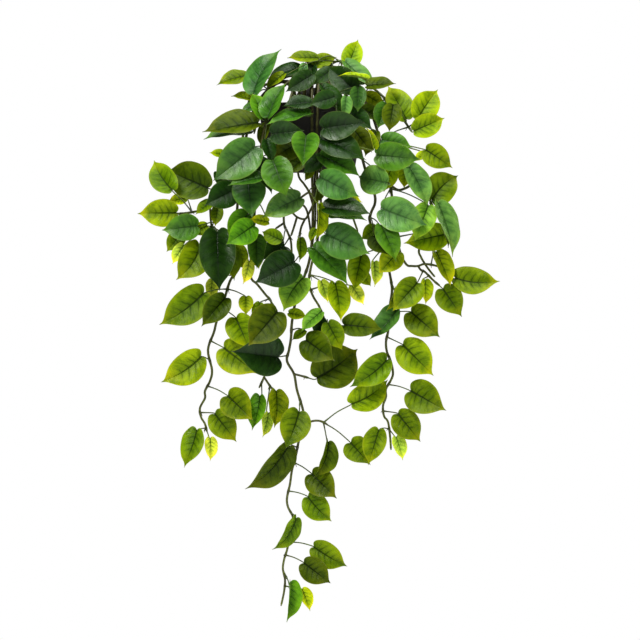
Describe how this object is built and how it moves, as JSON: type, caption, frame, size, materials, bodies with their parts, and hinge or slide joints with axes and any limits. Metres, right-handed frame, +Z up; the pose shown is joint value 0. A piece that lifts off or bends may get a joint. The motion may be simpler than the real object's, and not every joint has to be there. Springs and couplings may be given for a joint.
{
  "type": "potted philodendron",
  "caption": "Trailing heart-leaf philodendron in a plain wall pot: long leafy stems arch over the rim and hang far below it.",
  "frame": {"origin": "middle of the pot's flat back, on the wall", "axes": "+Z up, +Y into the wall, so the plant hangs in front of the wall towards -Y, +X to the right as the plant is seen from the front"},
  "size_m": [0.4938, 0.187, 0.798],
  "materials": {
    "pot_plastic": "matt, near-black brown",
    "potting_soil": "dark, crumbly and dull",
    "leaf_green": "satin leaf, dark blue-green in the crown to yellow-green at the young tips"
  },
  "bodies": {
    "root": {"pot": "pot_plastic", "soil": "potting_soil", "vine_left_long": "leaf_green", "vine_left_inner": "leaf_green", "vine_left_outer": "leaf_green", "vine_centre_long": "leaf_green", "vine_centre_front": "leaf_green", "vine_right_long": "leaf_green", "vine_right_outer": "leaf_green", "vine_right_mid": "leaf_green", "vine_top_right": "leaf_green", "vine_top": "leaf_green", "vine_top_left": "leaf_green", "vine_crown_left": "leaf_green", "vine_crown_right": "leaf_green"}
  },
  "joints": []
}
